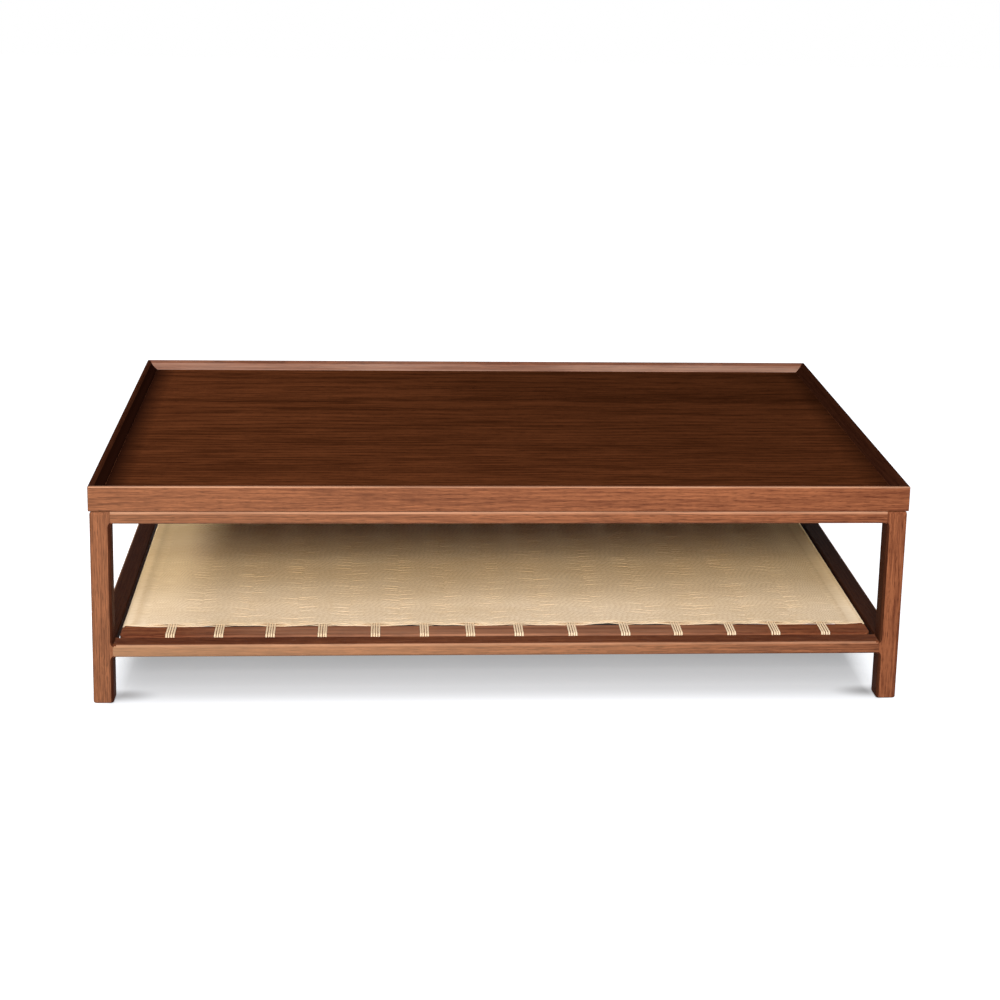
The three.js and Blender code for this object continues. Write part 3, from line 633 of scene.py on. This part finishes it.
def plastic_material():
    """Moulded black plastic with a fine spark-eroded texture."""
    material, tree, shader = new_material("glide_plastic")
    place = tree.nodes.new("ShaderNodeTexCoord").outputs["Object"]
    speck = noise_of(tree, place, PLASTIC_SPECKS, detail=1.0)
    shade = blend_of(tree, speck, colour(34, 33, 32), colour(46, 44, 42))
    tree.links.new(shade, shader.inputs["Base Color"])
    shader.inputs["Roughness"].default_value = 0.7
    bump_of(tree, shader, speck, depth=0.0001, strength=0.4)
    return material


def refinish(node, material):
    """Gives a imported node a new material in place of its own."""
    packed = frame["nodes"][node]
    packed.data.materials.clear()
    packed.data.materials.append(material)


# %% Screws, brackets and glides
zinc_steel = zinc_material()
glide_plastic = plastic_material()
BRACKETS = [f"{side}_{place}" for side in ("front", "back") for place in ("left", "centre", "right")]
steel_nodes = [f"tray_screw_{corner}" for corner in CORNERS]
steel_nodes += [f"shelf_bracket_{place}" for place in BRACKETS]
plastic_nodes = [f"glide_{corner}" for corner in CORNERS]
for node in steel_nodes:
    refinish(node, zinc_steel)
for node in plastic_nodes:
    refinish(node, glide_plastic)
print("steel nodes:", len(steel_nodes), "plastic nodes:", len(plastic_nodes))

# %% [markdown]
# ## Paper cord
# Paper cord is a strip of paper twisted hard, three strands laid together. It is pale and matt. A
# painted shade darkens the grooves between its strands, and the cord is painted a warmer, more golden
# tone further in under the tray, as shade lit by the brown wood around it, and paler towards the front,
# where the lamps light it. The cords below come from Blender's curves, whose meshes carry a UV map: one
# way round the cord and one way along it. The lay is a band that slants across that map, so it winds
# round each cord wherever the cord goes.

# %% Cord material
LAY = 0.009
LAID_STRANDS = 3.0
CORD_CLOUDS = (3.0, 9.0, 9.0)
CORD_FLECKS = (45.0, 420.0, 420.0)
CLOUD_PUSH = 0.7
FLECK_PUSH = 1.1
# Tones of the cord as painted light: paler where the lamps light it, golden in the shade under the tray,
# and the painted shade of its grooves.
LIT_CORD = (colour(223, 196, 157), colour(247, 226, 197))
SHADED_CORD = (colour(230, 192, 136), colour(251, 221, 171))
GROOVE_SHADE = colour(196, 160, 112)
GROOVE_SHADE_EDGE = (0.35, 0.0)
SHADE_REACH = (-0.36, -0.04)
GROOVE_DEPTH = 0.0003


def cord_material(name, length):
    """Twisted paper cord, for cords of a given length in metres."""
    material, tree, shader = new_material(name)
    split = tree.nodes.new("ShaderNodeSeparateXYZ")
    tree.links.new(tree.nodes.new("ShaderNodeUVMap").outputs["UV"], split.inputs["Vector"])
    along = math_of(tree, "MULTIPLY", split.outputs["X"], length / LAY)
    phase = math_of(tree, "MULTIPLY_ADD", split.outputs["Y"], LAID_STRANDS, along)
    ridge = math_of(tree, "ABSOLUTE", math_of(tree, "SINE", math_of(tree, "MULTIPLY", phase, pi)))

    # Flecks and clouds in the paper
    place = tree.nodes.new("ShaderNodeTexCoord").outputs["Object"]
    cloud = math_of(tree, "SUBTRACT", noise_of(tree, place, CORD_CLOUDS), 0.5)
    flecks = noise_of(tree, place, CORD_FLECKS, detail=3.0, rough=0.6)
    fleck = math_of(tree, "SUBTRACT", flecks, 0.5)
    tone = math_of(tree, "MULTIPLY_ADD", fleck, FLECK_PUSH, 0.5)
    tone = math_of(tree, "MULTIPLY_ADD", cloud, CLOUD_PUSH, tone)
    tone = spread_of(tree, tone, 0.0, 1.0)

    # Painted light: paler towards the front, golden in the shade under the tray, and painted shade in
    # the grooves
    from_front = tree.nodes.new("ShaderNodeSeparateXYZ")
    tree.links.new(place, from_front.inputs["Vector"])
    in_shade = spread_of(tree, from_front.outputs["Y"], *SHADE_REACH)
    lit_tone = blend_of(tree, tone, *LIT_CORD)
    body = blend_of(tree, in_shade, lit_tone, blend_of(tree, tone, *SHADED_CORD))
    groove_shade = spread_of(tree, ridge, *GROOVE_SHADE_EDGE)
    tree.links.new(blend_of(tree, groove_shade, body, GROOVE_SHADE), shader.inputs["Base Color"])
    shader.inputs["Roughness"].default_value = 0.8
    shader.inputs["Specular IOR Level"].default_value = 0.2
    bump_of(tree, shader, ridge, depth=GROOVE_DEPTH, strength=0.3)
    return material


# %% [markdown]
# ## Cords as curves
# A curve with a bevel is Blender's way to draw a cord: each spline is a route, and the bevel
# gives it thickness. Its mesh is taken once all routes are in, and the open ends are filled.

# %% Cord helpers
CORD_SIDES = 6
END_ANGLE = radians(60)


def cords_from(name, routes, radius):
    """One object with a round cord along every route, each a list of points in metres."""
    curve = bpy.data.curves.new(name, "CURVE")
    curve.dimensions = "3D"
    curve.bevel_depth = radius
    curve.bevel_resolution = (CORD_SIDES - 4) // 2
    for route in routes:
        spline = curve.splines.new("POLY")
        spline.points.add(len(route) - 1)
        spline.points.foreach_set("co", [part for point in route for part in (*point, 1.0)])
    drawn = bpy.data.objects.new(name + "_curve", curve)
    scene.collection.objects.link(drawn)
    piece = bpy.data.objects.new(name, bpy.data.meshes.new_from_object(drawn))
    scene.collection.objects.link(piece)
    bpy.data.objects.remove(drawn)
    piece.data.name = name
    return piece


def close_cords(piece, material):
    """Fills the ends of the cords and shades them round."""
    shape = bmesh.new()
    shape.from_mesh(piece.data)
    ends = [edge for edge in shape.edges if edge.is_boundary]
    bmesh.ops.holes_fill(shape, edges=ends, sides=CORD_SIDES)
    shape.to_mesh(piece.data)
    shape.free()
    piece.data.shade_smooth()
    piece.data.set_sharp_from_angle(angle=END_ANGLE)
    piece.data.materials.clear()
    piece.data.materials.append(material)


# %% [markdown]
# ## The warp
# Fourteen groups of four strands run from front to back. Each strand hooks round the front bar
# and the back bar: up the bar's inner face, under it, round its outer face and over the top. The
# bars' boxes say where the hooks lie. Between the bars the strands run straight, through the
# middle of the weave.

# %% Sizes of the weave, from the frame
CORD = 0.0034
FIT = 0.0003
BAR_ROUND = 0.003
BEND_STEPS = 4
WARP_HOOK_END = 0.010
WEFT_HOOK_END = 0.009

band_names = sorted(name for name in frame["nodes"] if name.startswith("warp_band_"))
band_boxes = [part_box(name) for name in band_names]
group_places = [(low.x + high.x) / 2 for low, high in band_boxes]
weave_middle = band_boxes[0][1].z - CORD / 2
print("warp groups at", [round(place, 3) for place in group_places])


def hook(outer, inner, top, bottom, rise):
    """The way of a cord round a bar as (across, up) pairs, from the bar's top to the hook's end."""
    reach = BAR_ROUND + FIT + CORD / 2
    turns = ((outer - BAR_ROUND, top - BAR_ROUND, pi / 2),
             (outer - BAR_ROUND, bottom + BAR_ROUND, 0.0),
             (inner + BAR_ROUND, bottom + BAR_ROUND, -pi / 2))
    way = []
    for across, up, start in turns:
        for step in range(BEND_STEPS + 1):
            angle = start - step * pi / 2 / BEND_STEPS
            way.append((across + reach * cos(angle), up + reach * sin(angle)))
    way.append((inner + BAR_ROUND - reach, bottom + rise))
    return way


# %% Warp strands
STRANDS = 4
STRAND_PITCH = 0.0046
STRAND_DRIFT = 0.0003
WARP_SEED = 11
bar_low, bar_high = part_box("shelf_bar_back")
warp_hook = hook(bar_high.y, bar_low.y, bar_high.z, bar_low.z, WARP_HOOK_END)
warp_luck = random.Random(WARP_SEED)


def warp_strand(x):
    """One strand: hooked round the back bar, straight to the front, hooked round the front bar."""
    drift = warp_luck.uniform(-STRAND_DRIFT, STRAND_DRIFT)
    back = [(x + drift, y, z) for y, z in reversed(warp_hook)]
    front = [(x - drift, -y, z) for y, z in warp_hook]
    return back + front


def route_length(route):
    """The length of a route in metres."""
    return sum((Vector(a) - Vector(b)).length for a, b in zip(route, route[1:]))


strand_length = route_length(warp_strand(0))
warp_cord = cord_material("warp_cord", strand_length)
for band, place in zip(band_names, group_places):
    first = place - (STRANDS - 1) / 2 * STRAND_PITCH
    routes = [warp_strand(first + strand * STRAND_PITCH) for strand in range(STRANDS)]
    strands = cords_from(band.replace("band", "strands"), routes, CORD / 2)
    close_cords(strands, warp_cord)
    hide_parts(band)
    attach(strands, "root")
print("warp strands:", STRANDS * len(band_names), "each", round(strand_length, 3), "m long")

# %% [markdown]
# ## The routes of the weft
# A single cord is worked back and forth across the groups, row after row: over one group, under
# the next, and the other way in the row after it. So each row is a wave that is up over every
# second group, and the next row is the same wave upside down. The first and last rows bend more
# sharply, and raising their wave to a power does that. Real rows are worked by hand, so each
# crossing leans a little to one side.

# %% Weft routes
ROW_PITCH = 0.0023
WEFT_RADIUS = 0.00165
CREST_LIFT = 0.0026
CREST_FLAT = 1.25
CROSSING_LUCK = 0.068
SELVEDGE = 0.4
SELVEDGE_POWER = 1.5
SPAN_STEPS = 8
WEFT_SEED = 23
side_low, side_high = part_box("shelf_bar_right")
weft_hook = hook(side_high.x, side_low.x, side_high.z, side_low.z, WEFT_HOOK_END)
edge_place = side_low.x + BAR_ROUND
mat_low, mat_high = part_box("weft_mat")
row_count = int((mat_high.y - mat_low.y) / ROW_PITCH)
row_step = (mat_high.y - mat_low.y - 2 * WEFT_RADIUS) / (row_count - 1)
row_luck = random.Random(WEFT_SEED)


def swell_places(luck):
    """Places across the weave with a wave that is 1 over every even group and -1 over every odd.

    Luck moves the points of the whole row, and the crossing between each two groups by itself."""
    stops = [(-edge_place, 0.0)]
    stops += [(x, 1.0 if i % 2 == 0 else -1.0) for i, x in enumerate(group_places)]
    stops += [(edge_place, 0.0)]
    places = []
    shift = luck.random()
    for (x0, wave0), (x1, wave1) in zip(stops, stops[1:]):
        lean = luck.uniform(-CROSSING_LUCK, CROSSING_LUCK)
        for step in range(SPAN_STEPS):
            share = (step + shift) / SPAN_STEPS
            bent = share + lean * 4 * share * (1 - share)
            straight = (wave0 + (wave1 - wave0) * bent) * CREST_FLAT
            places.append((x0 + (x1 - x0) * share, max(-1.0, min(1.0, straight))))
    return places


def rows_from_edge(number):
    """How many rows lie between a row and the nearer edge of the weave."""
    return min(number, row_count - 1 - number)


def edge_share(number):
    """1 for the first and the last row, and quickly less for the rows further in."""
    return SELVEDGE ** rows_from_edge(number)


def weft_row(number):
    """The route of one row, hooked round both side bars and waved over and under the warp."""
    y = mat_low.y + WEFT_RADIUS + number * row_step
    side = -1 if number % 2 == 0 else 1
    power = 1 + SELVEDGE_POWER * edge_share(number)
    left = [(-x, y, z) for x, z in reversed(weft_hook)]
    middle = []
    for x, wave in row_places[number]:
        rise = side * (1 if wave > 0 else -1) * abs(wave) ** power * CREST_LIFT
        middle.append((x, y, weave_middle + rise))
    right = [(x, y, z) for x, z in weft_hook]
    return left + middle + right


row_places = [swell_places(row_luck) for number in range(row_count)]
row_points = len(row_places[0]) + 2 * len(weft_hook)
print("weft rows:", row_count, "points in a row:", row_points)

# %% [markdown]
# ## How the rows lie
# Pulled tight, the rows flatten where they lie on the warp and bunch up where they cross between
# two groups, which makes a low crest over every group and a valley between. Each row lies a
# little off its place, with short and long wanders along it. The first and last rows, which
# nothing holds down, hang lower between two groups and bow inwards there, except near the corners
# of the shelf, where the cord is held tight.

# %% Wander and bow of a row
SHORT_WANDER = 2
LONG_WANDER = 17
CALM = 5
EDGE_BOW = 0.0085
LEAST_BOW = 0.15
BOW_LEAN = 1.3
TIGHT_SPANS = [0, 1, 13, 14]


def smooth_luck(luck, count, every):
    """A smooth run of chance values between -1 and 1, most of them small, new every few points."""
    knots = luck.uniform(-1, 1, count // every + 4) ** CALM
    places = np.arange(count) / every
    index = places.astype(int)
    share = places - index
    ease = share * share * (3 - 2 * share)
    return knots[index] * (1 - ease) + knots[index + 1] * ease


def edge_bow(seed, points):
    """How far the slack outermost row bows in between two groups, for every point of a row."""
    knots = np.random.default_rng(seed).uniform(LEAST_BOW, 1, points // SPAN_STEPS + 2)
    knots[TIGHT_SPANS] = 0
    places = ((np.arange(points) - len(weft_hook)) / SPAN_STEPS).clip(0)
    index = np.clip(places.astype(int), 0, len(knots) - 1)
    share = (places - places.astype(int)) ** BOW_LEAN
    return EDGE_BOW * knots[index] * np.sin(np.pi * share)


# %% Flattening of the rows
CREST_WIDE = 2.6
CROSSING_WIDE = 1.9
CROSSING_TALL = 0.42
SELVEDGE_TALL = 0.8
SELVEDGE_PULL = 0.0012
SELVEDGE_DROP = 0.0014
DROP_POWER = 4
NARROWING = 0.7
DRIFT = 0.0003
LIFT = 0.00003
BOW_SPREAD = 0.86
ROW_SEED = 1000
FRONT_BOW_SEED = 5
BACK_BOW_SEED = 6
bow_front = edge_bow(FRONT_BOW_SEED, row_points)
bow_back = edge_bow(BACK_BOW_SEED, row_points)
on_top = np.zeros(row_points)
on_top[len(weft_hook):-len(weft_hook)] = 1
print("deepest bow of the front edge:", round(float(bow_front.max()) * 1000, 1), "mm")


def row_section(number, wave):
    """How many times wider and taller than round a row's cord is at every point."""
    crossing = 1 - wave ** NARROWING
    wide = CREST_WIDE + (CROSSING_WIDE - CREST_WIDE) * crossing
    tall_crossing = CROSSING_TALL + edge_share(number) * SELVEDGE_TALL
    tall = 1 / CREST_WIDE + (tall_crossing - 1 / CREST_WIDE) * crossing
    return np.where(on_top > 0, wide, 1.0), np.where(on_top > 0, tall, 1.0)


def row_shift(number, wave):
    """How far a row lies off its place at every point, across the rows and upwards."""
    luck = np.random.default_rng(ROW_SEED + number)
    edge = edge_share(number)
    outward, bow = (-1, bow_front) if number < row_count / 2 else (1, bow_back)
    drift = DRIFT * smooth_luck(luck, row_points, SHORT_WANDER)
    drift += DRIFT / 2 * smooth_luck(luck, row_points, LONG_WANDER)
    drift = drift * (1 - edge) + outward * edge * SELVEDGE_PULL
    drift -= outward * bow * BOW_SPREAD ** rows_from_edge(number)
    lift = LIFT * smooth_luck(luck, row_points, SHORT_WANDER) * (1 - edge)
    lift -= SELVEDGE_DROP * edge * (1 - wave ** DROP_POWER)
    return drift * on_top, lift * on_top


def loosen_rows(piece, first, rows):
    """Flattens the cords on the warp, narrows them where they cross, and sets rows a little off."""
    flat = np.zeros(len(piece.data.vertices) * 3)
    piece.data.vertices.foreach_get("co", flat)
    corners = flat.reshape(rows, row_points, CORD_SIDES, 3)
    for number, ring in enumerate(corners, start=first):
        wave = np.zeros(row_points)
        wave[on_top > 0] = [abs(part) for x, part in row_places[number]]
        wide, tall = row_section(number, wave)
        drift, lift = row_shift(number, wave)
        middle = ring.mean(axis=1, keepdims=True)
        off = ring - middle
        off[:, :, 1] *= wide[:, None]
        off[:, :, 2] *= tall[:, None]
        ring[:] = middle + off
        ring[:, :, 1] += drift[:, None]
        ring[:, :, 2] += lift[:, None]
    piece.data.vertices.foreach_set("co", flat)
    piece.data.update()


# %% [markdown]
# ## The weft in four banks
# All the rows in one piece would be a heavy mesh, so they are made in four banks of rows, which
# lie side by side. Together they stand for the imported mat.

# %% Weft rows
BANKS = ("front", "front_middle", "back_middle", "back")
weft_cord = cord_material("weft_cord", route_length(weft_row(0)))
bank_edges = [round(row_count * share / len(BANKS)) for share in range(len(BANKS) + 1)]
for bank, first, last in zip(BANKS, bank_edges, bank_edges[1:]):
    routes = [weft_row(number) for number in range(first, last)]
    rows = cords_from(f"weft_rows_{bank}", routes, WEFT_RADIUS)
    loosen_rows(rows, first, last - first)
    close_cords(rows, weft_cord)
    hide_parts("weft_mat")
    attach(rows, "root")
    print(rows.name, "triangles:", sum(len(face.vertices) - 2 for face in rows.data.polygons))

# %% [markdown]
# ## The studio
# The floor is pale and runs out of sight. To the camera it is white, because its surface gives off a
# little light of its own, and a shadow is painted into that glow: less of it under the table, round each
# foot, and least of all far under the middle. Light that bounces off it sees a plain pale floor, with
# the same painted shadow darkening its colour under the table. The table's own shadow from the lamps
# falls on it as well. The background is white to the camera and in reflections, and a soft grey as a
# source of light.

# %% Shade of the floor, as distances past the ends and the long sides of the table
HALF_LENGTH, HALF_DEPTH = abs(frame_box[0][0]), abs(frame_box[0][1])
SHADOW_EDGE = (-0.07, 0.08)
END_EDGE = (-0.10, 0.01)
DEEP_SIDE = (-0.33, -0.25)
DEEP_END = (-0.26, -0.10)
DEEP_SHARE = 0.06
DEEP_PALE = 0.2
UNDER_TABLE = 0.37
UNDER_TABLE_PALE = 0.65
FOOT_SHADOW = 0.40
FOOT_REACH = 0.09
FOOT_STRETCH = (1.0, 2.5, 0.0)


def seen_of(tree):
    """1 for rays that show a surface, straight or in gloss and glass, and 0 for plain light."""
    rays = tree.nodes.new("ShaderNodeLightPath").outputs
    shown = math_of(tree, "MAXIMUM", rays["Is Camera Ray"], rays["Is Glossy Ray"])
    return math_of(tree, "MAXIMUM", shown, rays["Is Transmission Ray"])


def foot_shade(tree, place):
    """The small shadow painted round each foot."""
    leg_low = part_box("leg_back_right")[0]
    foot = vector_of(tree, "SUBTRACT", vector_of(tree, "ABSOLUTE", place), (*leg_low.xy, 0.0))
    foot = vector_of(tree, "LENGTH", vector_of(tree, "MULTIPLY", foot, FOOT_STRETCH))
    return spread_of(tree, foot, 0.0, FOOT_REACH, FOOT_SHADOW, 0.0)


def shade_shares(tree, place):
    """The painted shadow of the floor: its paleness to light, and how bright the camera sees it, with 1
    for unshaded.
    """
    split = tree.nodes.new("ShaderNodeSeparateXYZ")
    tree.links.new(place, split.inputs["Vector"])
    past_end = math_of(tree, "SUBTRACT", math_of(tree, "ABSOLUTE", split.outputs["X"]), HALF_LENGTH)
    past_side = math_of(tree, "SUBTRACT", math_of(tree, "ABSOLUTE", split.outputs["Y"]), HALF_DEPTH)
    past = math_of(tree, "MAXIMUM", past_end, past_side)
    near = math_of(tree, "MAXIMUM", spread_of(tree, past_side, *DEEP_SIDE),
                   spread_of(tree, past_end, *DEEP_END))
    pale = spread_of(tree, past, *SHADOW_EDGE, UNDER_TABLE_PALE, 1.0)
    pale = math_of(tree, "MULTIPLY", pale, spread_of(tree, near, 0.0, 1.0, DEEP_PALE, 1.0))
    seen = spread_of(tree, past, *SHADOW_EDGE, UNDER_TABLE, 1.0)
    seen = math_of(tree, "MULTIPLY", seen, spread_of(tree, near, 0.0, 1.0, DEEP_SHARE, 1.0))
    seen = math_of(tree, "MAXIMUM", seen, spread_of(tree, past_end, *END_EDGE))
    return pale, math_of(tree, "SUBTRACT", seen, foot_shade(tree, place))


# %% Floor and background
FLOOR_HALF = 12.0
FLOOR_CLOUDS = (1.5, 1.5, 1.5)
FLOOR_GREYS = ((0.53, 0.53, 0.54, 1), (0.57, 0.57, 0.58, 1))
FLOOR_TINT = (0.98, 1.0, 1.03, 1)
WORLD_LIGHT = 0.08


def floor_material():
    """Pale floor: white to the camera where nothing shades it, a plain diffuse floor otherwise."""
    material, tree, shader = new_material("studio_floor")
    place = tree.nodes.new("ShaderNodeTexCoord").outputs["Object"]
    pale, seen = shade_shares(tree, place)
    grey = blend_of(tree, noise_of(tree, place, FLOOR_CLOUDS, detail=1.0), *FLOOR_GREYS)
    tree.links.new(blend_of(tree, pale, (0, 0, 0, 1), grey), shader.inputs["Base Color"])
    shader.inputs["Roughness"].default_value = 1.0
    shader.inputs["Specular IOR Level"].default_value = 0.0
    glow = tree.nodes.new("ShaderNodeEmission")
    glow.inputs["Color"].default_value = FLOOR_TINT
    feed(tree, math_of(tree, "MULTIPLY", seen_of(tree), seen), glow.inputs["Strength"])
    both = tree.nodes.new("ShaderNodeAddShader")
    tree.links.new(shader.outputs[0], both.inputs[0])
    tree.links.new(glow.outputs[0], both.inputs[1])
    tree.links.new(both.outputs[0], tree.nodes["Material Output"].inputs["Surface"])
    return material


floor_shape = bmesh.new()
bmesh.ops.create_grid(floor_shape, x_segments=1, y_segments=1, size=FLOOR_HALF)
floor = bpy.data.objects.new("studio_floor", bpy.data.meshes.new("studio_floor"))
floor_shape.to_mesh(floor.data)
floor_shape.free()
floor.data.materials.append(floor_material())
scene.collection.objects.link(floor)

world = bpy.data.worlds.new("studio")
world.use_nodes = True
scene.world = world
sky = world.node_tree
level = math_of(sky, "MULTIPLY_ADD", seen_of(sky), 1.0 - WORLD_LIGHT, WORLD_LIGHT)
feed(sky, level, sky.nodes["Background"].inputs["Strength"])
sky.nodes["Background"].inputs["Color"].default_value = (1, 1, 1, 1)
print("floor:", 2 * FLOOR_HALF, "m wide, world light:", WORLD_LIGHT)

# %% [markdown]
# ## The lights
# The front of the table is its brightest side and the floor of the tray is much darker, so two
# wide soft boxes stand in front. The upper one lights the tray and all that looks forward, and
# the lower one reaches in under the tray and over the weave. A third box, to the left and
# behind, has a grid, which keeps its beam on the left end of the shelf. Two faint ones keep the
# right end and the back from going black in other views. They stand about as low as the weave, so
# that hardly any of their light falls on it: lamps a little higher would graze it, and make every
# row look like a ridge.

# %% Lamps
def soft_box(name, place, aim, size, level, grid=180):
    """A square-on area lamp that lights a white card at its aim to the given level.

    A grid under 180 degrees narrows the beam, which packs the lamp's power into it."""
    data = bpy.data.lights.new(name, "AREA")
    data.shape = "RECTANGLE"
    data.size, data.size_y = size
    data.spread = radians(grid)
    half = radians(grid) / 2
    packed = tan(half) / (tan(half) - half)
    place, aim = Vector(place), Vector(aim)
    data.energy = level * pi * pi * (place - aim).length_squared / packed
    lamp = bpy.data.objects.new(name, data)
    lamp.location = place
    lamp.rotation_euler = (place - aim).to_track_quat("Z", "Y").to_euler()
    lamp.visible_camera = False
    scene.collection.objects.link(lamp)
    print(name, round(data.energy, 1), "W")


table_middle = (0, 0, 0.25)
left_of_shelf = (-0.62, 0.25, 0.12)
soft_box("front_light", (-0.25, -3.1, 2.5), table_middle, size=(2.2, 1.5), level=0.72)
soft_box("low_light", (-0.25, -3.6, 1.82), table_middle, size=(2.2, 0.55), level=0.66)
soft_box("left_light", (-2.2, 1.3, 2.4), left_of_shelf, size=(0.9, 0.9), level=1.25, grid=24)
soft_box("right_fill", (3.8, 0.3, 0.12), table_middle, size=(1.6, 0.2), level=0.32)
soft_box("back_fill", (0.3, 4.2, 0.16), table_middle, size=(2.4, 0.3), level=0.55)
